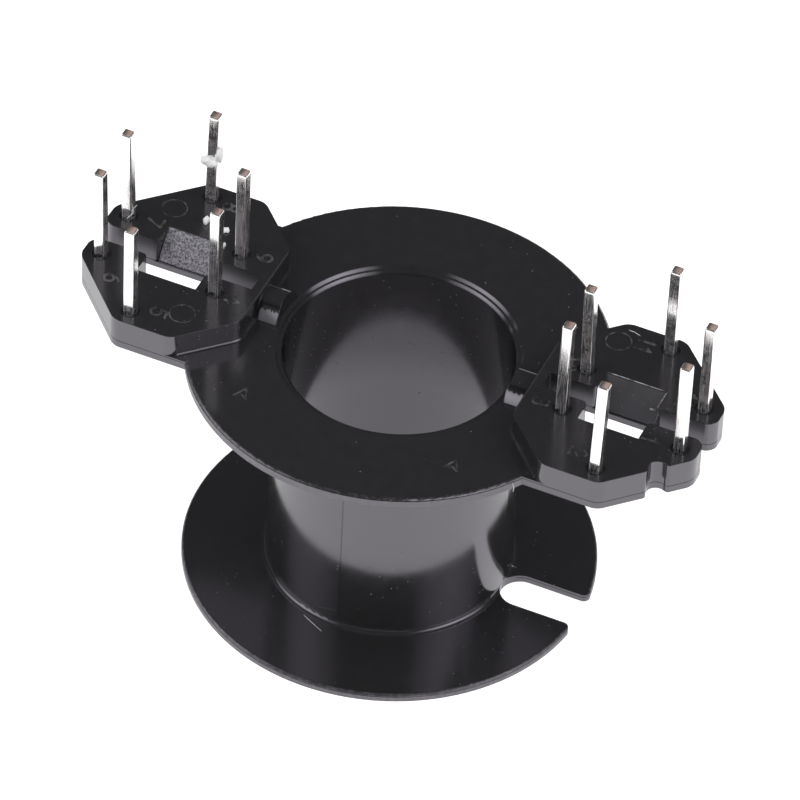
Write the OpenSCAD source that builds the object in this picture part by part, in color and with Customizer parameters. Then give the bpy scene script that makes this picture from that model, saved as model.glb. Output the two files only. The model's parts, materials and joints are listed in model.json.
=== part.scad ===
// Coil former for a pot-type ferrite core: a winding barrel between two flanges,
// with a pin block on each side of the upper flange and twelve square pins.
// Millimetres. X runs through both pin blocks, Z points out of the pins, and the
// former stands on its lower flange with the bore on the Z axis.

/* [Winding barrel] */
// Diameter of the bore that takes the core's centre post
bore_d = 13.3; // [12.9:0.1:13.7]
// Wall thickness of the barrel
barrel_wall = 0.55; // [0.45:0.05:0.8]
// Height from the standing face to the top face of the upper flange
stand_h = 16.2; // [14:0.1:19]
// Rounding of the bore at the standing face
mouth_r = 0.4; // [0.25:0.05:0.5]
// Width and drop of each chamfer of the mouth between the pin blocks
lip_chamfer = 0.16; // [0.1:0.02:0.2]
// Ledge between the two chamfers
lip_ledge = 0.13; // [0.08:0.01:0.2]
// Fillet between the barrel and each flange
barrel_fillet_r = 0.3; // [0.15:0.05:0.5]

/* [Flanges] */
// Diameter of the upper flange
flange_d = 24.5; // [23.6:0.1:25.2]
// Thickness of the upper flange
flange_t = 0.6; // [0.45:0.05:0.9]
// Diameter of the lower flange
foot_d = 24.3; // [23.4:0.1:25]
// Thickness of the lower flange
foot_t = 0.5; // [0.4:0.05:0.9]
// Rounding of the upper edge of both rims
rim_r = 0.18; // [0.1:0.02:0.3]

/* [Lead slot of the lower flange] */
// Width of the slot
slot_w = 2.5; // [1.8:0.1:3.5]
// Depth of the slot's round end in the foot of the barrel
slot_bite = 0.06; // [0.03:0.01:0.2]
// Rounding of the corners where the slot leaves the rim
slot_lip_r = 0.4; // [0.2:0.05:0.6]

/* [Pins] */
// Pitch of the square pin grid, which is turned by 45 degrees
pin_pitch = 2.54; // [2.45:0.01:2.65]
// Side of the square pin wire
pin_side = 0.64; // [0.5:0.02:0.8]
// Length of pin standing above its block
pin_out = 6.3; // [4:0.05:9]
// Plastic left under the foot of each pin
pin_floor = 0.4; // [0.25:0.05:0.8]
// Clearance around each pin in its socket
pin_fit = 0.01; // [0.005:0.005:0.04]
// Width of the round dimple outside the corners of the pin
dimple_lip = 0.1; // [0.05:0.01:0.2]
// Depth of the dimple
dimple_deep = 0.13; // [0.06:0.01:0.25]

/* [Pin blocks] */
// Height of a block above the upper flange
block_rise = 1.45; // [1:0.05:2.2]
// Plastic beyond the outermost pins
nose_margin = 1.09; // [0.9:0.01:1.5]
// Plastic beside the widest pins
side_margin = 1; // [0.8:0.05:1.5]
// Plastic between the outer pins and the slanted nose sides
slant_margin = 1.13; // [1:0.01:1.4]
// Plastic between the innermost pins and the root of the block
root_margin = 2.36; // [2:0.02:2.6]
// Plastic between the inner pins and the slanted root sides
root_slant = 2.8; // [2.5:0.05:3]
// Rounding of the upright corners
corner_r = 1; // [0.5:0.1:1.2]
// Fillet between the root of the block and the flange
root_fillet_r = 0.22; // [0.12:0.02:0.3]

/* [Wire channel] */
// Width of the channel, which is open below and leaves the nose of the block
channel_w = 1.3; // [1.1:0.1:1.8]
// Wall left between the channel and the root of the block
channel_stop = 0.6; // [0.4:0.05:1]
// Rounding of the channel where it leaves the nose
channel_lip_r = 0.75; // [0.5:0.05:0.9]
// Distance from the innermost pins to the window
window_from = 1.08; // [0.9:0.02:1.4]
// Length of the window along the channel
window_len = 3.7; // [2.5:0.1:4.2]
// Rounding of the upright corners between channel and window
window_lip_r = 0.3; // [0.15:0.05:0.5]
// Run of the slope on each side of the window
ramp_run = 1.45; // [0.8:0.05:1.6]
// Upright wall left below each slope
ramp_land = 0.4; // [0.2:0.05:0.6]

/* [Necks and pin-one notch] */
// Radius of the half-round neck between bore and block
neck_r = 1.42; // [1.1:0.02:1.6]
// Height of the neck above the flange
neck_rise = 1.15; // [0.7:0.05:1.3]
// Flat left between a neck and the mouth of the bore
neck_stop = 0.04; // [0.02:0.01:0.1]
// Radius of the notch that marks pin one
notch_r = 0.6; // [0.4:0.05:0.7]
// Rounding of the two lips of the notch
notch_lip_r = 0.25; // [0.1:0.05:0.35]
// Place of the notch along the slanted nose side, from the nose
notch_share = 0.38; // [0.3:0.01:0.5]

/* [Hidden] */
$fn = 96;
// Overlap that carries cutters and joints past a face
lap = 0.2;
// Fillet arcs are drawn larger by this factor, so they cross their walls and don't just graze them
arc_over = 1.02;
// The bent stretches of a fillet run this many degrees into the straight ones, and are this much finer
bend_over = 3;
bend_ease = 0.95;
bore_r = bore_d / 2;
barrel_r = bore_r + barrel_wall;
flange_r = flange_d / 2;
foot_r = foot_d / 2;
mouth_edge_r = bore_r + 2 * lip_chamfer + lip_ledge;
plate_z = stand_h - flange_t;
block_z = stand_h + block_rise;
// Turn of the pin grid, and so of the slanted block sides
SLANT = 45;
// Half the diagonal of one square of the turned grid
grid = pin_pitch / sqrt(2);
// Places of pins 1 to 12, counted in those half diagonals from the bore
PIN_STEPS = [
    [10, -1], [8, -3], [6, -1], [-6, -1], [-8, -3], [-10, -1],
    [-10, 1], [-8, 3], [-6, 1], [6, 1], [8, 3], [10, 1]
];
NOSE_STEPS = 10;
ROOT_STEPS = 6;
SIDE_STEPS = 3;
pin_seat = flange_t + block_rise - pin_floor;
socket_side = pin_side + 2 * pin_fit;
dimple_r = pin_side / sqrt(2) + dimple_lip;
nose_x = NOSE_STEPS * grid + nose_margin;
root_x = ROOT_STEPS * grid - root_margin;
side_y = SIDE_STEPS * grid + side_margin;
slant_sum = (NOSE_STEPS + 1) * grid + slant_margin * sqrt(2);
root_sum = (ROOT_STEPS - 1) * grid - root_slant * sqrt(2);
nose_y = slant_sum - nose_x;
root_y = root_x - root_sum;
window_x = ROOT_STEPS * grid + window_from;
channel_x = root_x + channel_stop;
// Upright outline of a block, from the nose round to the nose
BLOCK = [
    [nose_x, -nose_y], [nose_x, nose_y], [slant_sum - side_y, side_y],
    [root_sum + side_y, side_y], [root_x, root_y], [root_x, -root_y],
    [root_sum + side_y, -side_y], [slant_sum - side_y, -side_y]
];
// The plate below it runs straight into the flange
PLATE = [
    [nose_x, -nose_y], [nose_x, nose_y], [slant_sum - side_y, side_y],
    [root_x, side_y], [root_x, -side_y], [slant_sum - side_y, -side_y]
];

function unit(v) = v / norm(v);
// Half of the angle inside corner i of a closed outline
function half_angle(p, i) = let(
    n = len(p),
    a = unit(p[(i + n - 1) % n] - p[i]),
    b = unit(p[(i + 1) % n] - p[i])
) acos(a * b) / 2;
// Points where a rounding of radius r leaves the sides at corner i
function tangent(p, i, step, r) = let(
    n = len(p),
    d = unit(p[(i + n + step) % n] - p[i])
) p[i] + d * r / tan(half_angle(p, i));
// Centre of that rounding
function centre(p, i, r) = let(
    n = len(p),
    a = unit(p[(i + n - 1) % n] - p[i]),
    b = unit(p[(i + 1) % n] - p[i])
) p[i] + unit(a + b) * r / sin(half_angle(p, i));

// Outline with every corner rounded by true arcs
module rounded(p, r) {
    polygon([for (i = [0 : len(p) - 1]) for (step = [-1, 1]) tangent(p, i, step, r)]);
    for (i = [0 : len(p) - 1])
        translate(centre(p, i, r)) circle(r);
}

// Square corner of side r at the origin, less the quarter circle that rounds it
module spandrel(r, inset = lap) {
    difference() {
        translate([-inset, -inset]) square(r + inset);
        translate([r, r]) circle(r * arc_over);
    }
}

// Cut that opens the bore in two chamfers with a ledge between them, from the top edge of its wall
module lip() {
    ledge_end = lip_chamfer + lip_ledge;
    polygon([
        [-lap, -2 * lip_chamfer - lap], [lip_chamfer, -lip_chamfer], [ledge_end, -lip_chamfer],
        [ledge_end + lip_chamfer + lap, lap], [-lap, lap]
    ]);
}

// Half section of barrel and flanges, X being the radius
module barrel_section() {
    difference() {
        union() {
            translate([bore_r, 0]) square([barrel_wall, stand_h]);
            translate([bore_r, 0]) square([foot_r - bore_r, foot_t]);
            translate([bore_r, plate_z]) square([flange_r - bore_r, flange_t]);
            translate([barrel_r, foot_t]) spandrel(barrel_fillet_r);
            translate([barrel_r, plate_z]) mirror([0, 1]) spandrel(barrel_fillet_r);
        }
        translate([bore_r, 0]) spandrel(mouth_r);
        translate([bore_r, stand_h]) lip();
        translate([foot_r, foot_t]) rotate(180) spandrel(rim_r);
        translate([flange_r, stand_h]) rotate(180) spandrel(rim_r);
    }
}

// Slot from the rim of the lower flange to the barrel, with rounded lips
module slot_outline() {
    end_x = barrel_r - slot_bite + slot_w / 2;
    lip_y = slot_w / 2 + slot_lip_r;
    lip_x = sqrt(pow(foot_r - slot_lip_r / arc_over, 2) - pow(lip_y, 2));
    translate([end_x, 0]) circle(slot_w / 2);
    translate([end_x, -slot_w / 2]) square([foot_r + lap - end_x, slot_w]);
    for (side = [0, 1]) mirror([0, side]) difference() {
        translate([lip_x, slot_w / 2 - lap]) square([foot_r + lap - lip_x, slot_lip_r + lap]);
        translate([lip_x, lip_y]) circle(slot_lip_r);
    }
}

// Concave fillet along the foot of the block's three root walls and round their corners
module root_fillet() {
    for (i = [3 : 5]) {
        p = tangent(BLOCK, i, 1, corner_r);
        q = tangent(BLOCK, i + 1, -1, corner_r);
        outward = atan2(p.x - q.x, q.y - p.y);
        translate([q.x, q.y, stand_h]) rotate([90, 0, outward])
            linear_extrude(norm(q - p)) spandrel(root_fillet_r);
    }
    for (i = [4, 5])
        translate([each centre(BLOCK, i, corner_r), stand_h])
            rotate([0, 0, (i == 4 ? 180 - SLANT : 180) - bend_over])
                rotate_extrude(angle = SLANT + 2 * bend_over)
                    translate([corner_r, 0]) spandrel(root_fillet_r * bend_ease, lap / 2);
}

// One pin block along +X without its pin sockets
module block() {
    translate([0, 0, plate_z]) linear_extrude(flange_t) rounded(PLATE, corner_r);
    translate([0, 0, plate_z]) linear_extrude(block_z - plate_z) rounded(BLOCK, corner_r);
    root_fillet();
    translate([0, 0, stand_h]) rotate([90, 0, 90]) linear_extrude(root_x + lap) intersection() {
        translate([0, neck_rise - neck_r]) circle(neck_r);
        translate([-neck_r, -flange_t / 2]) square([2 * neck_r, neck_rise + flange_t]);
    }
}

// Plan of the window, with its four upright corners rounded into the channel
module window_plan() {
    half = channel_w / 2;
    reach = half + ramp_run;
    translate([window_x, -reach]) square([window_len, 2 * reach]);
    for (side = [0, 1]) mirror([0, side]) {
        translate([window_x, half]) mirror([1, 0]) spandrel(window_lip_r);
        translate([window_x + window_len, half]) spandrel(window_lip_r);
    }
}

// Channel through block and flange, and the window that slopes down into it
module block_cuts() {
    half = channel_w / 2;
    deep = block_z - plate_z;
    fall = (deep - ramp_land) / ramp_run;
    translate([0, 0, plate_z - lap]) linear_extrude(deep + 2 * lap) {
        translate([channel_x, -half]) square([nose_x + lap - channel_x, channel_w]);
        for (side = [0, 1]) mirror([0, side]) translate([nose_x, half])
            mirror([1, 0]) spandrel(channel_lip_r);
    }
    intersection() {
        translate([0, 0, plate_z]) linear_extrude(deep + lap) window_plan();
        translate([channel_x, 0, plate_z]) rotate([90, 0, 90]) linear_extrude(nose_x - channel_x)
            polygon([
                [0, ramp_land - half * fall], [half + ramp_run + lap, deep + lap * fall],
                [-half - ramp_run - lap, deep + lap * fall]
            ]);
    }
}

// Square socket and round dimple for the pin at p
module socket(p) {
    translate([p.x - socket_side / 2, p.y - socket_side / 2, block_z - pin_seat])
        cube([socket_side, socket_side, pin_seat + lap]);
    translate([p.x, p.y, block_z - dimple_deep]) cylinder(r = dimple_r, h = dimple_deep + lap);
}

module terminal_pin(n) {
    at = PIN_STEPS[n - 1] * grid;
    translate([at.x - pin_side / 2, at.y - pin_side / 2, block_z - pin_seat])
        cube([pin_side, pin_side, pin_seat + pin_out]);
}

// Half-round notch in a slanted nose side, with rounded lips
module notch() {
    notch_x = nose_x - notch_share * (nose_x + side_y - slant_sum);
    reach = sqrt(notch_r * (notch_r + 2 * notch_lip_r));
    translate([notch_x, notch_x - slant_sum, plate_z - lap]) rotate(SLANT) linear_extrude(block_z) {
        circle(notch_r);
        for (side = [0, 1]) mirror([side, 0]) difference() {
            polygon([[0, 0], [0, -lap], [reach, -lap], [reach, notch_lip_r]]);
            translate([reach, notch_lip_r]) circle(notch_lip_r * arc_over);
        }
    }
}

module bobbin_body() {
    color([0.08, 0.08, 0.09]) difference() {
        union() {
            rotate_extrude() barrel_section();
            difference() {
                union() {
                    block();
                    mirror([1, 0, 0]) block();
                }
                translate([0, 0, plate_z - lap])
                    cylinder(r = mouth_edge_r + neck_stop, h = 2 * block_rise + flange_t);
            }
        }
        block_cuts();
        mirror([1, 0, 0]) block_cuts();
        for (steps = PIN_STEPS) socket(steps * grid);
        notch();
        translate([0, 0, -lap]) linear_extrude(foot_t + 2 * lap) slot_outline();
    }
}

module pin_1() color([0.75, 0.75, 0.76]) terminal_pin(1);
module pin_2() color([0.75, 0.75, 0.76]) terminal_pin(2);
module pin_3() color([0.75, 0.75, 0.76]) terminal_pin(3);
module pin_4() color([0.75, 0.75, 0.76]) terminal_pin(4);
module pin_5() color([0.75, 0.75, 0.76]) terminal_pin(5);
module pin_6() color([0.75, 0.75, 0.76]) terminal_pin(6);
module pin_7() color([0.75, 0.75, 0.76]) terminal_pin(7);
module pin_8() color([0.75, 0.75, 0.76]) terminal_pin(8);
module pin_9() color([0.75, 0.75, 0.76]) terminal_pin(9);
module pin_10() color([0.75, 0.75, 0.76]) terminal_pin(10);
module pin_11() color([0.75, 0.75, 0.76]) terminal_pin(11);
module pin_12() color([0.75, 0.75, 0.76]) terminal_pin(12);

bobbin_body();
pin_1();
pin_2();
pin_3();
pin_4();
pin_5();
pin_6();
pin_7();
pin_8();
pin_9();
pin_10();
pin_11();
pin_12();
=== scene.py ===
# %% [markdown]
# # A transformer bobbin in black plastic with twelve tinned pins
#
# The frame holds the exact solids of the part: one moulding and twelve pins, in metres, with Z up. This
# lesson dresses them. The moulding keeps its solid, because its shape is already exact, and gets a finish.
# The pins, the raised numbers and the crumbs are surfaces worked out with numpy. The start-up scene is
# emptied first, so that only the part is measured.

# %% Load the frame and measure it
import json

import bpy
import numpy as np
from mathutils import Matrix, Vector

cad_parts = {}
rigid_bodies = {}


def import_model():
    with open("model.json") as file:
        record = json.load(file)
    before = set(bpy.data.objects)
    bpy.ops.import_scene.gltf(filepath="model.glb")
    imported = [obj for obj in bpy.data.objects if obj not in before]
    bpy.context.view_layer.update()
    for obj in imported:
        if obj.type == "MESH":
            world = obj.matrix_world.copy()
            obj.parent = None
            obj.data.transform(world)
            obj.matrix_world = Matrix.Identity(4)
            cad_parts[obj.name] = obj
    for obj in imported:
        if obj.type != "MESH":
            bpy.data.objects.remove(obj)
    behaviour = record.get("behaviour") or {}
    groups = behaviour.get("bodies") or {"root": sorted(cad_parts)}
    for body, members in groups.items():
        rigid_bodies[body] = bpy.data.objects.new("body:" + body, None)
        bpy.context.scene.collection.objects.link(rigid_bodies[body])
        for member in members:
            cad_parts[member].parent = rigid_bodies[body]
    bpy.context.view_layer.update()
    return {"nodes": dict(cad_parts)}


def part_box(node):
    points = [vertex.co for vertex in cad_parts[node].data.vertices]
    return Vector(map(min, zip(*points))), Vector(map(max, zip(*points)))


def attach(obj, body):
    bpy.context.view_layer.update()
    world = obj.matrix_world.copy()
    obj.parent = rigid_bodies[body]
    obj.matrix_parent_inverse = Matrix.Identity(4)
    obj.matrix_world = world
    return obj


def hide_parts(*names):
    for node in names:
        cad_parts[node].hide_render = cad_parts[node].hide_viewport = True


for leftover in list(bpy.data.objects):
    bpy.data.objects.remove(leftover)
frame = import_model()
MM = 0.001

# %% [markdown]
# The driving sizes of the part come back from the boxes of its nodes, so they follow the part when it is
# changed: the top of a pin block, the place of each pin, its side and its two ends. Only sizes inside the
# moulding, which no box shows, are listed.

# %% Sizes in millimetres
block_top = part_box("bobbin_body")[1][2] / MM
flange_top = 16.2
foot_top = 0.5
barrel_r = 7.2
pin_names = [f"pin_{number}" for number in range(1, 13)]
pin_low = np.array([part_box(name)[0] for name in pin_names]) / MM
pin_high = np.array([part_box(name)[1] for name in pin_names]) / MM
pin_axis = (pin_low + pin_high)[:, :2] / 2
pin_side = float(np.mean((pin_high - pin_low)[:, :2]))
pin_foot = pin_low[0, 2]
pin_tip = pin_high[0, 2]
print("block top", round(block_top, 3), "pin side", round(pin_side, 3), "pins from", pin_foot, "to", pin_tip)

# %% [markdown]
# ## Camera
#
# A small part that fills the picture from over a third of a metre away was seen through a long lens. The
# viewing angle is set by an azimuth, an elevation and a slight roll, and the lens by its focal length on a
# 36 mm sensor. The camera matrix is built from its own right, up and back directions, which is easier to
# check than three Euler angles.

# %% Camera
azimuth, elevation, roll = np.radians((22.42, 43.53, 2.84))
target = np.array((2.59, -5.79, 18.252)) * MM
distance = 389.1 * MM
sin_a, cos_a, sin_e, cos_e = np.sin(azimuth), np.cos(azimuth), np.sin(elevation), np.cos(elevation)
back = np.array((sin_a * cos_e, -cos_a * cos_e, sin_e))
level = np.array((cos_a, sin_a, 0.0))
lift = np.cross(back, level)
right = np.cos(roll) * level + np.sin(roll) * lift
up = np.cos(roll) * lift - np.sin(roll) * level
placing = np.eye(4)
placing[:3, :3] = np.stack((right, up, back), axis=1)
placing[:3, 3] = target + back * distance
camera_data = bpy.data.cameras.new("camera")
camera_data.sensor_width = 36.0
camera_data.lens = 313.06
camera_data.clip_start = 0.01
camera_data.clip_end = 20.0
camera = bpy.data.objects.new("camera", camera_data)
bpy.context.scene.collection.objects.link(camera)
camera.matrix_world = Matrix(placing.tolist())
bpy.context.scene.camera = camera
bpy.context.scene.view_settings.view_transform = "Standard"
print("camera at", [round(float(v), 4) for v in placing[:3, 3]])

# %% [markdown]
# ## Shader sums
#
# A shader is a sum worked out at every point of a surface. Wiring Math nodes by hand hides the sum, so a
# small class wraps a socket and lets Python's own signs add the nodes. Every other node comes from one
# method, which sets the node's settings first and then fills or links its sockets.


# %% A socket that can be added and multiplied
class Net:
    """A socket in a node tree. Signs between nets, or a net and a number, add Math nodes."""

    def __init__(self, tree, socket=None):
        self.tree = tree
        self.socket = socket

    def node(self, kind, sockets=None, out=0, **settings):
        """Adds a node of that type, sets its settings, then fills or links its sockets."""
        made = self.tree.nodes.new(kind)
        for name, value in settings.items():
            setattr(made, name, value)
        for key, value in (sockets or {}).items():
            if isinstance(value, Net):
                self.tree.links.new(value.socket, made.inputs[key])
            else:
                made.inputs[key].default_value = value
        return Net(self.tree, made.outputs[out] if made.outputs else None)

    def sum_of(self, operation, first, second=0.0):
        """A Math node with that operation on one or two values."""
        return self.node("ShaderNodeMath", {0: first, 1: second}, operation=operation)

    def __add__(self, other):
        return self.sum_of("ADD", self, other)

    __radd__ = __add__

    def __sub__(self, other):
        return self.sum_of("SUBTRACT", self, other)

    def __rsub__(self, other):
        return self.sum_of("SUBTRACT", other, self)

    def __mul__(self, other):
        return self.sum_of("MULTIPLY", self, other)

    __rmul__ = __mul__

    def __abs__(self):
        return self.sum_of("ABSOLUTE", self)

    def larger(self, other):
        return self.sum_of("MAXIMUM", self, other)

    def smaller(self, other):
        return self.sum_of("MINIMUM", self, other)

    def root(self):
        return self.sum_of("SQRT", self)

    def step(self, start, end):
        """A smooth rise from 0 at start to 1 at end."""
        sockets = {"Value": self, "From Min": start, "From Max": end, "To Min": 0.0, "To Max": 1.0}
        return self.node("ShaderNodeMapRange", sockets, interpolation_type="SMOOTHSTEP")

    def blend(self, first, second):
        """The colour first where this net is 0 and second where it is 1."""
        return self.node("ShaderNodeMix", {0: self, 6: first, 7: second}, out=2, data_type="RGBA")


# %% Starting a material
def start_finish(name):
    """An empty material with its output, a Principled BSDF and the place on the piece in millimetres."""
    material = bpy.data.materials.new(name)
    material.use_nodes = True
    tree = material.node_tree
    tree.nodes.clear()
    net = Net(tree)
    output = tree.nodes.new("ShaderNodeOutputMaterial")
    shader = tree.nodes.new("ShaderNodeBsdfPrincipled")
    tree.links.new(shader.outputs["BSDF"], output.inputs["Surface"])
    metres = net.node("ShaderNodeTexCoord", out="Object")
    place = net.node("ShaderNodeVectorMath", {0: metres, "Scale": 1 / MM}, operation="SCALE")
    return material, shader, net, place


def outputs_of(net, *names):
    """Other outputs of the node behind a net."""
    outputs = net.socket.node.outputs
    return [Net(net.tree, outputs[name]) for name in names]


def axes_of(net, place):
    """The three numbers of a place."""
    return outputs_of(net.node("ShaderNodeSeparateXYZ", {0: place}), 0, 1, 2)


def noise(net, place, scale, detail=2.0, roughness=0.6):
    """Fractal noise between about 0.2 and 0.8, with that many waves in a millimetre."""
    sockets = {"Vector": place, "Scale": scale, "Detail": detail, "Roughness": roughness}
    return net.node("ShaderNodeTexNoise", sockets)


def stretched(net, place, scales):
    """A place whose axes are scaled one by one, so that a noise read there is drawn out."""
    return net.node("ShaderNodeMapping", {"Vector": place, "Scale": scales})


def link(net, value, shader, socket):
    """Feeds a net into a socket of the shader."""
    net.tree.links.new(value.socket, shader.inputs[socket])


def emboss(net, shader, height, normal=None):
    """Bends the shader's normal by a height in millimetres."""
    sockets = {"Strength": 1.0, "Distance": MM, "Height": height}
    if normal:
        sockets["Normal"] = normal
    link(net, net.node("ShaderNodeBump", sockets), shader, "Normal")


# %% [markdown]
# ## Floor, world and lamps
#
# A catalogue picture stands on a white sweep. The floor is a pale, matt sheet that keeps the shadow. Rays
# from the camera and from reflections also see a plain glow added to it, which makes it white without
# putting more light on the part. It lies a hair below the part, because two faces in one plane flicker.
# The world gives an even light, but reflections find a dim room in it, so that flat black tops stay dark
# while upright walls mirror the white floor. Two soft boxes stand left and right of the camera. They draw
# the pairs of bright arcs on every rounded or chamfered edge.

# %% Floor
floor_reach = 3.0
floor_drop = 0.02 * MM
floor_lines = 9
span = np.linspace(-floor_reach, floor_reach, floor_lines)
floor_x, floor_y = np.meshgrid(span, span, indexing="ij")
floor_points = np.stack((floor_x, floor_y, np.full_like(floor_x, -floor_drop)), axis=-1).reshape(-1, 3)
cell = np.arange(floor_lines - 1)[:, None] * floor_lines + np.arange(floor_lines - 1)[None, :]
corners = (cell, cell + floor_lines, cell + floor_lines + 1, cell + 1)
floor_quads = np.stack(corners, axis=-1).reshape(-1, 4)
floor_mesh = bpy.data.meshes.new("floor")
floor_mesh.from_pydata(floor_points.tolist(), [], floor_quads.tolist())
floor = bpy.data.objects.new("floor", floor_mesh)
bpy.context.scene.collection.objects.link(floor)
print("floor", floor_reach * 2, "m across with", len(floor_quads), "quads")

# %% Finish of the floor
sweep = bpy.data.materials.new("white_sweep")
sweep.use_nodes = True
sweep.node_tree.nodes.clear()
net = Net(sweep.node_tree)
path = net.node("ShaderNodeLightPath")
by_camera, by_gloss, through = outputs_of(path, "Is Camera Ray", "Is Glossy Ray", "Is Transmission Ray")
seen = by_camera.larger(by_gloss).larger(through)
matt = net.node("ShaderNodeBsdfDiffuse", {"Color": (0.8, 0.8, 0.8, 1.0)})
shade = net.node("ShaderNodeBsdfDiffuse", {"Color": (0.45, 0.45, 0.45, 1.0)})
glow = net.node("ShaderNodeEmission", {"Color": (1.0, 1.0, 1.0, 1.0), "Strength": 0.93})
bright = net.node("ShaderNodeAddShader", {0: shade, 1: glow})
shown = net.node("ShaderNodeMixShader", {0: seen, 1: matt, 2: bright})
net.node("ShaderNodeOutputMaterial", {"Surface": shown})
floor_mesh.materials.append(sweep)
print("finish:", sweep.name)

# %% World
world = bpy.data.worlds.new("studio")
bpy.context.scene.world = world
world.use_nodes = True
world.node_tree.nodes.clear()
net = Net(world.node_tree)
by_camera, by_gloss = outputs_of(net.node("ShaderNodeLightPath"), "Is Camera Ray", "Is Glossy Ray")
room = by_gloss.blend((0.72, 0.72, 0.72, 1.0), (0.045, 0.045, 0.050, 1.0))
sky = by_camera.blend(room, (1.0, 1.0, 1.0, 1.0))
background = net.node("ShaderNodeBackground", {"Color": sky, "Strength": 1.0})
net.node("ShaderNodeOutputWorld", {"Surface": background})
print("world: pale as light, dim in reflections, white to the camera")

# %% Lamps
lamp_spread = np.radians(64.0)
part_middle = np.array((0.0, 0.0, 0.012))


def soft_box(name, turn, height, distance, size, watts):
    """A square lamp seen from the part at that turn and height in degrees, facing the part.

    A narrow spread makes the lamp brightest in its middle, as the cloth of a real soft box is.
    """
    turn, height = np.radians((turn, height))
    away = np.array((np.cos(turn) * np.cos(height), np.sin(turn) * np.cos(height), np.sin(height)))
    side = np.array((-np.sin(turn), np.cos(turn), 0.0))
    facing = np.eye(4)
    facing[:3, :3] = np.stack((side, np.cross(away, side), away), axis=1)
    facing[:3, 3] = part_middle + away * distance
    data = bpy.data.lights.new(name, "AREA")
    data.shape = "SQUARE"
    data.size = size
    data.energy = watts
    data.spread = lamp_spread
    lamp = bpy.data.objects.new(name, data)
    bpy.context.scene.collection.objects.link(lamp)
    lamp.matrix_world = Matrix(facing.tolist())
    return lamp


lamps = [
    soft_box("left_box", turn=-146.0, height=30.0, distance=0.62, size=0.56, watts=0.255),
    soft_box("right_box", turn=-8.0, height=33.0, distance=0.55, size=0.50, watts=0.235),
]
print("lamps:", [lamp.name for lamp in lamps])

# %% [markdown]
# ## The black moulding
#
# The body is black glossy plastic from a polished mould, and its marks are those of the mould and of use,
# with some painted light and shade: painted highlights on the necks, the ramps and the inner block edges,
# and painted shade in the bore, the channel and round the necks.
# They could be painted on a picture wrapped round the body, but the solid has no map for one. So each mark
# is a mask: a number from 0 to 1, worked out from the place on the piece in millimetres. The solid's own
# mesh stays as it is, and the masks are put together at the end as colour, gloss and relief.


# %% Finish of the moulding
def within(value, full, none):
    """One while a value's size is up to full, falling to nothing at none."""
    return 1 - abs(value).step(full, none)


black_moulding, shader, net, place = start_finish("black_moulding")
x, y, z = axes_of(net, place)
forward = 0 - y
outward = abs(x)
radius = (x * x + y * y).root()
print("finish:", black_moulding.name)

# %% [markdown]
# Two mould halves leave a fine dark line where they met. It runs round the blocks and the rims, and up the
# front and the back of the barrel. The outer edges of the two flanges are rougher than their faces. A groove
# in the mesh would have to cut through every face of the solid, so a thin band of shade stands for the line.

# %% Where the mould halves met
line_half = 0.034
rim_seam = flange_top - 0.13
foot_seam = foot_top - 0.17
rim_line = within(z - rim_seam, line_half * 0.4, line_half)
foot_line = within(z - foot_seam, line_half * 0.4, line_half)
outer = radius.step(barrel_r + 0.4, barrel_r + 0.6)
barrel_middle = 8.0
barrel_line = within(x, 0.02, 0.06)
on_barrel = within(radius - barrel_r, 0.05, 0.09) * within(z - barrel_middle, 6.9, 7.0)
line = ((rim_line + foot_line) * outer * 0.8 + barrel_line * on_barrel * 0.35).smaller(1.0)
print("seams at", round(rim_seam, 2), "and", round(foot_seam, 2), "mm above the floor")

# %% Rough edges of the flanges
flange_r = 12.25
foot_r = 12.15
rim_middle = flange_top - 0.31
upper_rim = radius.step(flange_r - 0.21, flange_r - 0.17) * within(z - rim_middle, 0.30, 0.33)
upper_rim = upper_rim * (1 - radius.step(flange_r + 0.005, flange_r + 0.015))
upper_rim = upper_rim * (1 - x.step(-6.0, -2.0) * 0.5)
lower_rim = radius.step(foot_r - 0.17, foot_r - 0.13) * (1 - radius.step(foot_r + 0.01, foot_r + 0.02))
lower_rim = lower_rim * (1 - z.step(foot_top - 0.02, foot_top + 0.02))
rim = upper_rim + lower_rim
print("rims at radius", flange_r, "and", foot_r)

# %% [markdown]
# A short neck, half a round bar, joins each block to the mouth of the bore. Its front carries a pale patch
# with a ragged upper edge, which is a painted highlight, and painted shade round it. The patch is not a
# shape. It is a mask whose edge is pushed about by a noise, and further on it gets a paler tone for the
# painted highlight, less gloss and a normal that leans to one side.

# %% Painted highlight and painted shade on the fronts of the necks
channel_start = 9.0
neck_r = 1.42
neck_top = flange_top + 1.2
front = outward.step(7.05, 7.15) * (1 - outward.step(channel_start, channel_start + 0.02))
front = front * within(y, neck_r + 0.02, neck_r + 0.04) * forward.step(0.66, 0.80)
front = front * z.step(flange_top + 0.02, flange_top + 0.05) * (1 - z.step(neck_top, neck_top + 0.02))
ragged = noise(net, stretched(net, place, (9.0, 1.5, 1.5)), 1.0, 3.0)
neck_highlight = front * (1 - outward.step(8.15, 8.3)) * (ragged * 0.35 + forward).step(1.17, 1.27)
# painted shade: the rest of each neck's front, darkened in the matt black mix further on
shaded = front - neck_highlight
print("necks from", flange_top, "to", round(neck_top, 2), "mm")
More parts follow.
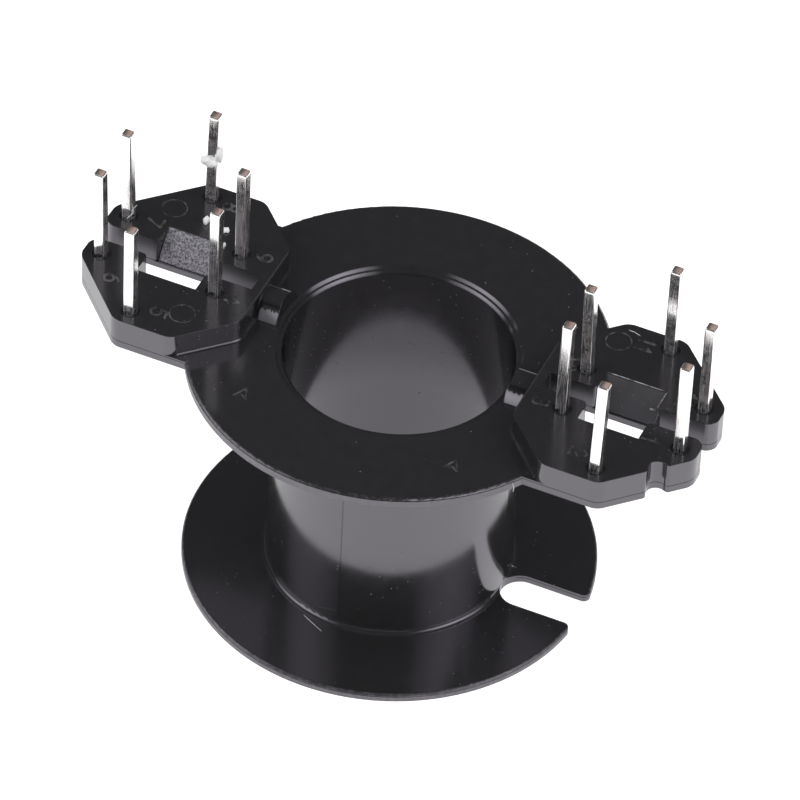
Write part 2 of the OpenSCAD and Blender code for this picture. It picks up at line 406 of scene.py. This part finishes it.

# %% [markdown]
# The wires leave the winding through a channel between the two rows of pins. Its walls are duller than the
# rest and carry painted shade that deepens towards the bore. The inner top edge of each block carries a
# painted highlight, a pale grey line. Both follow straight limits in X, Y and Z, so a product of a few soft
# steps is all that they need.

# %% Painted shade in the lead-out channel and a painted highlight on the inner edge of each block
channel_half = 0.65
inner_edge = 8.43
channel = within(y, channel_half + 0.05, channel_half + 0.09)
channel = channel * outward.step(channel_start, channel_start + 0.02)
channel = channel * (1 - z.step(block_top - 0.05, block_top - 0.01))
channel = channel * z.step(flange_top - 1.4, flange_top - 1.3)
# painted shade: the channel walls darken more towards the bore in the matt black mix further on
inner_end = 1 - outward.step(9.6, 11.6)
# painted highlight: a pale line along the inner top edge of each block
edge = within(outward - inner_edge, 0.03, 0.09) * within(y, 2.9, 3.3)
edge = edge * z.step(block_top - 0.12, block_top - 0.06)
print("channel", channel_half * 2, "mm wide, rubbed edges at", inner_edge)

# %% [markdown]
# The channel widens into a window with two ramps. The left pair has the coarse grain of a spark-eroded
# mould, and its pale grey is a painted sheen of the lamp on that grain. The right pair is smoother, and its
# tone, a little above the body's black, is a painted reflection. The polished faces have slow waves, and the
# plastic has a faint cloud in its tone. Each of these is a noise of its own size.

# %% Grain of the ramps and slow waves of the mould
window_middle = 13.706
in_window = within(outward - window_middle, 1.80, 1.83) * within(y, 2.08, 2.10)
in_window = in_window * abs(y).step(channel_half + 0.01, channel_half + 0.05)
in_window = in_window * z.step(16.0, 16.05) * (1 - z.step(17.58, 17.62))
coarse = 1 - x.step(-0.1, 0.1)
grain = noise(net, place, 8.0, 3.0, 0.7)
fine = noise(net, place, 26.0)
mottle = noise(net, place, 4.0, 3.0, 0.65)
waves = noise(net, place, 0.45, 1.0, 0.4)
cloud = noise(net, place, 1.3, 5.0, 0.62)
print("windows at", window_middle, "mm to the left and right")

# %% [markdown]
# Black plastic shows every speck. Dust could be scattered as thousands of grains, but at this size a speck is
# only a dot of another tone. The cells of a Voronoi pattern give the dots, a few over the whole part and more
# where it gathers: inside the bore and at two places on the flanges.


# %% Dust
def specks(scale, size, share):
    """Small dots at the middle of some cells of a Voronoi pattern."""
    cells = net.node("ShaderNodeTexVoronoi", {"Vector": place, "Scale": scale}, feature="F1")
    near, colour = outputs_of(cells, "Distance", "Color")
    chance = axes_of(net, colour)[0]
    return (1 - near.step(size * 0.5, size)) * chance.step(1 - share, 1.04 - share)


def near_to(spot, reach):
    """One at a spot, falling to nothing at that distance."""
    away = net.node("ShaderNodeVectorMath", {0: place, 1: spot}, out="Value", operation="DISTANCE")
    return 1 - away.step(reach * 0.4, reach)


bore_r = 6.65
# the upper bore: dust gathers here, and it also gets painted shade in the matt black mix further on
in_bore = (1 - radius.step(bore_r + 0.03, bore_r + 0.07)) * z.step(7.0, 11.0)
gathered = noise(net, place, 0.16, 1.0).step(0.54, 0.60) * 0.7 + in_bore
gathered = gathered + near_to((7.4, 7.4, flange_top), 3.2) + near_to((-6.0, -8.6, foot_top), 4.0) * 0.7
dust = specks(0.9, 0.045, 0.35) + specks(2.6, 0.12, 0.55) * gathered.smaller(1.0)
dust = dust.smaller(1.0) * (1 - in_window * 0.7)
print("dust gathers in the bore above 7 mm and at two places on the flanges")

# %% [markdown]
# Now the masks become a finish. The tone starts as two blacks, and each mask lays its own tone over it. The
# index of refraction is above that of plain plastic, so that the upright walls mirror the white floor as
# strongly as they do on the real part, and the gloss has a faint violet tint. The edges of a moulding are
# never quite sharp, and the Bevel node rounds them for the light.

# %% Colour of the moulding
tone = cloud.blend((0.015, 0.0148, 0.0152, 1.0), (0.026, 0.0254, 0.0266, 1.0))
# painted sheen: the pale grey of the left ramps over their real grain, and the lifted tone of the right ones
sparked_grain_and_sheen = grain.step(0.38, 0.62).blend((0.062, 0.061, 0.074, 1.0), (0.42, 0.412, 0.45, 1.0))
polished = (0.050, 0.0493, 0.052, 1.0)
tone = in_window.blend(tone, coarse.blend(polished, sparked_grain_and_sheen))
# painted highlight: the pale patch on the front of each neck
tone = (neck_highlight * 0.85).blend(tone, (0.20, 0.196, 0.21, 1.0))
# painted highlight: the pale line on the inner top edge of each block
tone = (edge * 0.8).blend(tone, (0.052, 0.051, 0.053, 1.0))
tone = (rim * mottle.step(0.42, 0.66) * 0.8).blend(tone, (0.095, 0.088, 0.092, 1.0))
tone = (dust * 0.5).blend(tone, (0.42, 0.42, 0.41, 1.0))
link(net, tone, shader, "Base Color")
print("tone: two blacks under five marks")

# %% Gloss and relief of the moulding
edge_round = 0.07 * MM
neck_highlight_lean = (-0.24, 0.0, 0.38)
on_top = z.step(block_top - 0.06, block_top - 0.03)
gloss = 0.09 + cloud * 0.10 + on_top * 0.05 + in_window * (0.10 + coarse * 0.35) + rim * 0.22 + dust * 0.4
gloss = gloss + neck_highlight * 0.22 + channel * 0.16
link(net, gloss, shader, "Roughness")
shader.inputs["IOR"].default_value = 2.08
shader.inputs["Specular Tint"].default_value = (0.94, 0.89, 1.0, 1.0)
soft_edge = net.node("ShaderNodeBevel", {"Radius": edge_round}, samples=4)
lean = net.node("ShaderNodeVectorMath", {0: neck_highlight_lean, "Scale": neck_highlight}, operation="SCALE")
leant = net.node("ShaderNodeVectorMath", {0: soft_edge, 1: lean}, operation="ADD")
soft_edge = net.node("ShaderNodeVectorMath", {0: leant}, operation="NORMALIZE")
relief = waves * 0.004 + in_window * (fine * 0.006 + coarse * grain * 0.05)
relief = relief + rim * mottle * 0.02 + dust * 0.01
emboss(net, shader, relief, soft_edge)
print("edges rounded by", round(edge_round / MM, 3), "mm for the light")

# %% [markdown]
# The seam between the mould halves is a dark line. The upper bore, the plastic round the neck
# highlights and the walls of the channel carry painted shade, so they send back less of the floor than a
# clean wall does. Changing the index of refraction from place to place would dim them, but only some
# sockets can vary over a surface if the finish is to be baked. So a Mix Shader blends the plastic with a
# matt black, and one mask says by how much.

# %% The seam and painted shade on the moulding
matt_black = net.node("ShaderNodeBsdfDiffuse", {"Color": (0.004, 0.004, 0.004, 1.0)})
plastic = Net(net.tree, shader.outputs["BSDF"])
# the seam is a dark line; the upper bore, the neck surrounds and the channel walls are painted shade
dim = line + in_bore * 0.28 + shaded * 0.55 + channel * (0.12 + inner_end * 0.33)
seam_and_painted_shade = net.node("ShaderNodeMixShader", {0: dim.smaller(1.0), 1: plastic, 2: matt_black})
net.tree.links.new(seam_and_painted_shade.socket, net.tree.nodes["Material Output"].inputs["Surface"])
frame["nodes"]["bobbin_body"].data.materials.clear()
frame["nodes"]["bobbin_body"].data.materials.append(black_moulding)
print("black moulding:", len(net.tree.nodes), "nodes")

# %% [markdown]
# Raised figures are the first thing that rubs against packing and fingers, so they are greyer and duller
# than the faces round them. They get a finish of their own.

# %% Finish of rubbed plastic
rubbed_black, shader, net, place = start_finish("rubbed_black")
wear = noise(net, place, 2.4, 3.0).step(0.40, 0.68)
link(net, wear.blend((0.024, 0.0235, 0.0245, 1.0), (0.112, 0.109, 0.113, 1.0)), shader, "Base Color")
link(net, 0.30 + wear * 0.25, shader, "Roughness")
shader.inputs["IOR"].default_value = 1.7
print("rubbed plastic:", rubbed_black.name)

# %% [markdown]
# ## Tinned pins
#
# Each pin is square wire, drawn and tinned, then cut off: the sides are bright with streaks along the draw,
# and the cut end shows the brown core. A solid bar would do for the shape, but its edges would be knife
# sharp and each would stand dead straight. So a rounded square is carried up a path that leans a little,
# and the end gets a small chamfer and its own brown finish.


# %% A mesh from a grid of rings
def ring_quads(rings, points):
    """Quads between neighbouring rings of a grid that closes round each ring."""
    here = np.arange(rings - 1)[:, None] * points + np.arange(points)[None, :]
    beside = np.arange(rings - 1)[:, None] * points + (np.arange(points)[None, :] + 1) % points
    return np.stack((here, beside, beside + points, here + points), axis=-1).reshape(-1, 4)


def capped(points):
    """Points and faces of a grid of rings whose first and last ring are closed by a face."""
    rings, around = points.shape[:2]
    first = list(range(around))[::-1]
    last = [(rings - 1) * around + k for k in range(around)]
    return points.reshape(-1, 3), ring_quads(rings, around).tolist() + [first, last]


def join(parts):
    """Several meshes as one: the points follow each other, and each part's faces count on from there."""
    starts = np.cumsum([0] + [len(points) for points, _ in parts])
    points = np.concatenate([points for points, _ in parts])
    faces = []
    for start, (_, part) in zip(starts, parts):
        faces += [[corner + int(start) for corner in face] for face in part]
    return points, faces


def add_piece(name, mesh_parts, finishes, stands_for=None):
    """A smooth mesh piece from points in millimetres and their faces, riding on the part."""
    points, faces = mesh_parts
    mesh = bpy.data.meshes.new(name)
    mesh.from_pydata((points * MM).tolist(), [], faces)
    for finish in finishes:
        mesh.materials.append(finish)
    mesh.polygons.foreach_set("use_smooth", np.ones(len(faces), dtype=bool))
    mesh.update()
    piece = bpy.data.objects.new(name, mesh)
    bpy.context.scene.collection.objects.link(piece)
    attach(piece, "root")
    if stands_for:
        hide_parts(stands_for)
    return piece


# %% [markdown]
# Tin is a bright metal with fine streaks along the wire, and it dulls in patches. The far row of pins has
# more flecks than the near one, so the share of flecks follows Y. The streaks are a noise drawn out along Z.

# %% Finish of the tin
tinned_pin, shader, net, place = start_finish("tinned_pin")
streak = noise(net, stretched(net, place, (22.0, 22.0, 0.7)), 1.0, 4.0, 0.65)
patch = noise(net, place, 2.2, 4.0)
fleck = noise(net, stretched(net, place, (14.0, 14.0, 5.0)), 1.0, 3.0, 0.7)
far_row = axes_of(net, place)[1].step(-1.0, 1.0) * 0.62 + 0.06
dull = (streak.step(0.44, 0.62) * 0.6 + fleck.step(0.46, 0.64) * far_row).smaller(1.0)
dull = dull * patch.step(0.30, 0.52)
link(net, dull.blend((0.95, 0.945, 0.94, 1.0), (0.92, 0.85, 0.83, 1.0)), shader, "Base Color")
link(net, 1 - dull * 0.22, shader, "Metallic")
link(net, 0.06 + streak * 0.09 + dull * 0.12, shader, "Roughness")
emboss(net, shader, streak * 0.0045)
print("finish:", tinned_pin.name)

# %% [markdown]
# The cutter bit from one side, so each end is dark on one half and shows the brown core on the other. The
# place on the whole part can't tell the halves of a pin. So each pin's mesh carries a number at every point,
# called side, that runs from -1 to 1 across the wire, and the finish reads it.

# %% Finish of the cut ends
cut_end, shader, net, place = start_finish("cut_end")
shear = noise(net, place, 7.0, 3.0)
side = net.node("ShaderNodeAttribute", attribute_name="side", out="Fac")
torn = (side + shear * 1.6 - 0.8).step(-0.55, 0.45)
link(net, torn.blend((0.135, 0.118, 0.102, 1.0), (0.52, 0.37, 0.31, 1.0)), shader, "Base Color")
shader.inputs["Metallic"].default_value = 0.25
link(net, 0.35 + shear * 0.3, shader, "Roughness")
emboss(net, shader, shear * 0.015)
print("finish:", cut_end.name)

# %% One pin
corner_r = 0.07
flat_guard = 0.03
corner_turn = np.radians(np.array((0.0, 22.5, 45.0, 67.5, 90.0)))
half_side = pin_side / 2
arc = np.stack((np.cos(corner_turn), np.sin(corner_turn)), axis=1) * corner_r + half_side - corner_r
flat_end = half_side - corner_r - flat_guard
quarter = np.concatenate(([[half_side, flat_end]], arc, [[flat_end, half_side]]))
turns = [np.array(((np.cos(q), np.sin(q)), (-np.sin(q), np.cos(q)))) for q in np.arange(4) * np.pi / 2]
section = np.concatenate([quarter @ turn for turn in turns])
end_round = 0.2
shaft_levels = (19.7, 21.8)
end_levels = (pin_tip - end_round, pin_tip - end_round / 2, pin_tip, pin_tip)


def square_pin(axis, lean):
    """A rounded square carried from foot to tip.

    The point is axis + lean * t + section * scale(z), with t from 0 at the block's top to 1 at the tip. The
    scale rounds the last stretch, where the wire was cut, and a last smaller ring lies flat in the end. The
    second result is each point's place across the wire, from -1 to 1.
    """
    levels = np.array((pin_foot, block_top, *shaft_levels, *end_levels))
    scale = np.array((1.0, 1.0, 1.0, 1.0, 1.0, 0.96, 0.82, 0.4))
    t = np.clip((levels - block_top) / (pin_tip - block_top), 0.0, None)
    round_it = section[None] * scale[:, None, None]
    plan = axis + t[:, None, None] * lean + round_it
    tall = np.broadcast_to(levels[:, None, None], plan.shape[:2] + (1,))
    return capped(np.concatenate((plan, tall), axis=-1)), (round_it[..., 0] / half_side).ravel()


print("section of a pin:", len(section), "points, corners of", corner_r, "mm")

# %% The twelve pins
leans = np.array(
    (
        (0.00, 0.00),
        (0.09, 0.20),
        (0.01, 0.20),
        (0.07, -0.08),
        (0.03, -0.05),
        (-0.06, -0.10),
        (-0.15, 0.05),
        (0.06, 0.12),
        (0.00, 0.00),
        (-0.07, -0.11),
        (0.07, -0.13),
        (0.00, 0.00),
    )
)
for name, axis, lean in zip(pin_names, pin_axis, leans):
    pin_parts, sides = square_pin(axis, lean)
    pin = add_piece(f"tinned_{name}", pin_parts, (tinned_pin, cut_end), name)
    picks = np.zeros(len(pin_parts[1]), dtype=np.int32)
    picks[-1] = 1
    picks[-2 - len(section) : -2] = 1
    pin.data.polygons.foreach_set("material_index", picks)
    pin.data.attributes.new("side", "FLOAT", "POINT").data.foreach_set("value", sides)
print("pins:", len(pin_names), "leaning by up to", np.abs(leans).max(), "mm along X or Y")

# %% [markdown]
# ## Raised numbers and marks
#
# Next to each pin stands its number, and the near flange carries two arrowheads. In the mould they are
# grooves cut with a ball-nosed tool, so on the part each stroke is a low round ridge. A font would have flat
# tops and sharp sides. Here a stroke is a path, and a flat ellipse is carried along it, half sunk in the
# plastic. The ejector pins left faint rings, which are the same ridge round a circle.


# %% A ridge along a path
def ridge(path, half_width, height, level, closed=False):
    """A flat ellipse carried along a path in the plane.

    The point is path(s) + side(s) * half_width * cos(v) + up * height * sin(v). Open ends are rounded: the
    path runs on by half_width * sin(a) while the ellipse shrinks by cos(a), and a small face closes it.
    """
    if closed:
        tangent = np.roll(path, -1, axis=0) - np.roll(path, 1, axis=0)
    else:
        tangent = np.gradient(path, axis=0)
    tangent = tangent / np.linalg.norm(tangent, axis=1, keepdims=True)
    shrink = np.ones(len(path))
    if not closed:
        turn = np.radians((35.0, 60.0, 78.0))[:, None]
        first = path[0] - tangent[0] * half_width * np.sin(turn)
        last = path[-1] + tangent[-1] * half_width * np.sin(turn)
        path = np.concatenate((first[::-1], path, last))
        ends = len(turn)
        tangent = np.concatenate((np.repeat(tangent[:1], ends, 0), tangent, np.repeat(tangent[-1:], ends, 0)))
        shrink = np.concatenate((np.cos(turn[::-1, 0]), shrink, np.cos(turn[:, 0])))
    side = np.stack((-tangent[:, 1], tangent[:, 0]), axis=1)
    v = np.linspace(0.0, 2 * np.pi, 12, endpoint=False)
    plan = path[:, None] + side[:, None] * (half_width * np.cos(v))[None, :, None] * shrink[:, None, None]
    tall = level + height * np.sin(v)[None, :] * shrink[:, None]
    points = np.concatenate((plan, tall[..., None]), axis=-1)
    if not closed:
        return capped(points)
    rings, around = points.shape[:2]
    return points.reshape(-1, 3), (ring_quads(rings + 1, around) % (rings * around)).tolist()


# %% Strokes of the ten figures
def bow(cx, cy, rx, ry, start, end):
    """Part of an ellipse, from one angle to another in degrees."""
    a = np.radians(np.linspace(start, end, 22))
    return np.stack((cx + rx * np.cos(a), cy + ry * np.sin(a)), axis=1)


def loop(cx, cy, rx, ry):
    """A whole ellipse, without its last point."""
    return bow(cx, cy, rx, ry, 0.0, 360.0)[:-1]


def straight(start, end):
    """A straight stroke between two points."""
    return np.linspace(np.array(start), np.array(end), 6)


figure_width = 0.62
six = [(loop(0.31, 0.30, 0.30, 0.30), True), (bow(0.50, 0.30, 0.49, 0.70, 178.0, 97.0), False)]
figures = {
    "0": [(loop(0.31, 0.5, 0.31, 0.5), True)],
    "1": [(straight((0.34, 0.0), (0.34, 1.0)), False), (straight((0.34, 1.0), (0.12, 0.78)), False)],
    "2": [
        (bow(0.31, 0.70, 0.29, 0.30, 165.0, -35.0), False),
        (straight((0.548, 0.528), (0.02, 0.0)), False),
        (straight((0.02, 0.0), (0.62, 0.0)), False),
    ],
    "3": [
        (bow(0.29, 0.745, 0.28, 0.255, 150.0, -90.0), False),
        (bow(0.29, 0.25, 0.32, 0.25, 90.0, -150.0), False),
    ],
    "4": [
        (straight((0.44, 0.0), (0.44, 1.0)), False),
        (straight((0.44, 1.0), (0.0, 0.28)), False),
        (straight((0.0, 0.28), (0.62, 0.28)), False),
    ],
    "5": [
        (straight((0.56, 1.0), (0.08, 1.0)), False),
        (straight((0.08, 1.0), (0.055, 0.55)), False),
        (bow(0.28, 0.32, 0.32, 0.32, 135.0, -150.0), False),
    ],
    "6": six,
    "7": [(straight((0.0, 1.0), (0.62, 1.0)), False), (straight((0.62, 1.0), (0.2, 0.0)), False)],
    "8": [(loop(0.31, 0.75, 0.25, 0.24), True), (loop(0.31, 0.26, 0.31, 0.26), True)],
    "9": [(np.array((figure_width, 1.0)) - stroke, closed) for stroke, closed in six],
}
print("figures:", "".join(figures))

# %% Numbers beside the pins
figure_height = 0.95
figure_step = 0.72
stroke_half = 0.085
stroke_rise = 0.05
number_spots = np.array(
    (
        (16.2, -1.9),
        (13.0, -4.6),
        (9.5, -1.75),
        (-9.5, -2.0),
        (-12.9, -4.75),
        (-16.5, -3.4),
        (-16.4, 2.05),
        (-13.0, 5.1),
        (-9.5, 2.1),
        (9.7, 1.9),
        (12.95, 5.05),
        (16.75, 2.0),
    )
)


def written(text, spot):
    """The strokes of a number whose top points to +X, centred on a spot of the block's top."""
    width = figure_height * (figure_step * (len(text) - 1) + figure_width)
    parts = []
    for place_in_row, figure in enumerate(text):
        for stroke, closed in figures[figure]:
            flat = stroke * figure_height
            across = flat[:, 0] + place_in_row * figure_step * figure_height - width / 2
            plan = np.stack((spot[0] + flat[:, 1] - figure_height / 2, spot[1] - across), axis=1)
            parts.append(ridge(plan, stroke_half, stroke_rise, block_top, closed))
    return parts


strokes = [part for n, spot in enumerate(number_spots) for part in written(str(n + 1), spot)]
add_piece("raised_numbers", join(strokes), (rubbed_black,))
print("numbers:", len(number_spots), "from", len(strokes), "strokes")

# %% Arrowheads on the near flange
arrow_half = 0.075
arrow_rise = 0.045
arrow_spots = np.array(((-6.4, -7.2), (6.6, -7.2)))
arrow_corners = np.array(((-0.38, -0.42), (0.0, 0.45), (0.38, -0.42), (0.0, -0.18)))
arrow_pairs = ((0, 1), (1, 2), (2, 3), (3, 0))
arrows = [
    ridge(straight(arrow_corners[a] + spot, arrow_corners[b] + spot), arrow_half, arrow_rise, flange_top)
    for spot in arrow_spots
    for a, b in arrow_pairs
]
add_piece("raised_arrowheads", join(arrows), (rubbed_black,))
print("arrowheads:", len(arrow_spots))

# %% Rings of the ejector pins
ejector_r = 0.74
ring_half = 0.045
ring_rise = 0.012
ejector_spots = ((-15.9, 3.6), (-11.65, -4.25), (11.45, 4.75))
rings = [
    ridge(loop(*spot, ejector_r, ejector_r), ring_half, ring_rise, block_top, True)
    for spot in ejector_spots
]
add_piece("ejector_rings", join(rings), (rubbed_black,))
print("ejector rings:", len(ejector_spots))

# %% [markdown]
# ## Rounds of the moulding
#
# A fillet of a few tenths of a millimetre catches the light as a fine double line. The solid shows it with a
# handful of facets, which break that line into dashes. So the long fillet at the foot of the barrel is drawn
# again with many more steps, a few microns proud of the solid: a profile turned round the axis of the bore.


# %% A profile turned round the axis
def turned(profile, start, end, steps):
    """A closed profile of (radius, height) turned from one angle to another in degrees, with closed ends.

    The point is (radius(u) cos a, radius(u) sin a, height(u)), with a running back from end to start.
    """
    a = np.radians(np.linspace(end, start, steps))[:, None]
    wide = profile[None, :, 0]
    tall = np.broadcast_to(profile[None, :, 1], (steps, len(profile)))
    return capped(np.stack((wide * np.cos(a), wide * np.sin(a), tall), axis=-1))


proud = 0.004
sunk = 0.05
fillet_r = 0.3
slot_turn = 12.0
sweep_turn = np.radians(np.linspace(0.0, 90.0, 19))
lean_out = np.stack((np.sin(sweep_turn), np.cos(sweep_turn)), axis=1)
hollow = np.array((barrel_r + fillet_r, foot_top + fillet_r)) - (fillet_r - proud) * lean_out
inside = np.array(
    (
        (barrel_r - sunk, foot_top + fillet_r),
        (barrel_r - sunk, foot_top - sunk),
        (barrel_r + fillet_r, foot_top - sunk),
    )
)
foot_fillet = turned(np.concatenate((hollow, inside)), slot_turn, 360.0 - slot_turn, 200)
add_piece("barrel_foot_fillet", foot_fillet, (black_moulding,))
print("foot fillet:", len(foot_fillet[1]), "faces")

# %% [markdown]
# ## Crumbs and fibres
#
# The part was packed in foam: a white crumb is speared on one of the pins, and a few bits lie on the block
# below it. Each is a lump, a sphere whose radius is pushed in and out by a few sine waves. Stray fibres, and
# the paper-thin flash along the edges of one ramp with a chip of it on the slope, are round threads along a
# path. Flash is thin enough to let light through, so its finish is paler than the moulding's.

# %% Finish of the foam
white_foam, shader, net, place = start_finish("white_foam")
pores = net.node("ShaderNodeTexVoronoi", {"Vector": place, "Scale": 9.0}, feature="F1")
pore = pores.step(0.2, 0.7)
link(net, pore.blend((0.99, 0.99, 0.99, 1.0), (0.94, 0.94, 0.95, 1.0)), shader, "Base Color")
shader.inputs["Roughness"].default_value = 0.7
emboss(net, shader, pore * 0.015)
print("finish:", white_foam.name)

# %% Finish of thin flash
pale_flash, shader, net, place = start_finish("pale_flash")
thin = noise(net, place, 2.5, 3.0).step(0.40, 0.62)
link(net, thin.blend((0.14, 0.14, 0.145, 1.0), (0.58, 0.58, 0.59, 1.0)), shader, "Base Color")
shader.inputs["Roughness"].default_value = 0.45
print("finish:", pale_flash.name)


# %% A lump of foam
def lump(centre, reach, seed):
    """A sphere grid stretched by reach.

    Its radius is 1 + 0.16 sin(3u + a) sin(2v + b) + 0.10 sin(5u + c) sin(4v), with u round the axis, v down
    from the top, and a, b and c drawn by chance.
    """
    a, b, c = np.random.default_rng(seed).uniform(0.0, 6.28, 3)
    v = np.radians(np.linspace(4.0, 176.0, 15))[:, None]
    u = np.radians(np.arange(0.0, 360.0, 15.0))[None, :]
    swell = 1 + 0.16 * np.sin(3 * u + a) * np.sin(2 * v + b) + 0.10 * np.sin(5 * u + c) * np.sin(4 * v)
    ball = np.stack((np.sin(v) * np.cos(u), np.sin(v) * np.sin(u), -np.cos(v) + 0 * u), axis=-1)
    return capped(np.array(centre) + ball * swell[..., None] * np.array(reach))


# %% The speared crumb and the bits on the block
speared = pin_axis[7] + leans[7] / 2
crumb = [
    lump((speared[0] - 0.10, speared[1] - 0.30, 20.62), (0.52, 0.34, 0.36), 3),
    lump((speared[0] + 0.36, speared[1] - 0.10, 21.12), (0.22, 0.34, 0.52), 8),
]
add_piece("foam_crumb", join(crumb), (white_foam,))
bits = [
    lump((-13.75, 3.30, block_top + 0.16), (0.17, 0.26, 0.26), 5),
    lump((-12.42, 3.12, block_top + 0.09), (0.21, 0.22, 0.14), 12),
    lump((-11.98, 1.95, block_top + 0.06), (0.10, 0.20, 0.12), 17),
]
add_piece("foam_bits", join(bits), (white_foam,))
print("foam: one speared crumb and", len(bits), "bits")

# %% A thread along a path in space
askew = np.array((0.3, 0.2, 1.0))


def thread(corners, reach, bend=0.0):
    """A round section carried along a path in space.

    The path runs straight from corner to corner and bows sideways by bend * sin(pi s). The point is
    path(s) + (side(s) cos v + over(s) sin v) * reach * taper(s), and the taper thins both ends. Sideways is
    square to the path and to askew, a direction that no thread follows.
    """
    corners = np.array(corners, dtype=float)
    s = np.linspace(0.0, 1.0, 25)
    knots = np.linspace(0.0, 1.0, len(corners))
    path = np.stack([np.interp(s, knots, corners[:, k]) for k in range(3)], axis=1)
    across = np.cross(corners[-1] - corners[0], askew)
    path = path + np.sin(np.pi * s)[:, None] * across / np.linalg.norm(across) * bend
    tangent = np.gradient(path, axis=0)
    tangent = tangent / np.linalg.norm(tangent, axis=1, keepdims=True)
    side = np.cross(tangent, askew)
    side = side / np.linalg.norm(side, axis=1, keepdims=True)
    over = np.cross(tangent, side)
    v = np.linspace(0.0, 2 * np.pi, 8, endpoint=False)[None, :, None]
    taper = np.minimum(1.0, 0.25 + 6 * np.minimum(s, 1 - s))[:, None, None]
    ring = (side[:, None] * np.cos(v) + over[:, None] * np.sin(v)) * reach * taper
    return capped(path[:, None] + ring)


# %% Fibres and flash
nose_fibre = ((-17.95, 1.45, 17.72), (-17.60, 1.55, 18.25), (-17.70, 1.75, 18.4), (-17.45, 1.85, 18.7))
fibres = [
    thread(((-2.1, -7.40, 0.52), (-1.27, -7.79, 0.53), (-0.6, -8.15, 0.52)), 0.011, 0.05),
    thread(((10.15, -7.10, 16.22), (10.47, -7.42, 16.25), (10.45, -7.70, 16.15)), 0.011, 0.08),
    thread(nose_fibre, 0.024, 0.04),
    thread(((11.6, 5.85, 17.66), (11.97, 5.85, 17.67), (12.4, 5.69, 17.66)), 0.014, 0.03),
]
add_piece("fibres", join(fibres), (white_foam,))
flash_level = block_top + 0.012
flash = [
    thread(((11.9, 2.1, flash_level), (15.44, 2.1, flash_level)), 0.025),
    thread(((15.55, 2.09, flash_level), (15.55, 0.68, flash_level)), 0.025),
    thread(((15.47, 1.30, 16.775), (15.42, 0.86, 16.27)), 0.03),
    thread(((14.88, 1.27, 16.78), (15.28, 1.29, 16.80)), 0.07),
]
add_piece("ramp_flash", join(flash), (pale_flash,))
print("fibres:", len(fibres), "threads of flash:", len(flash))
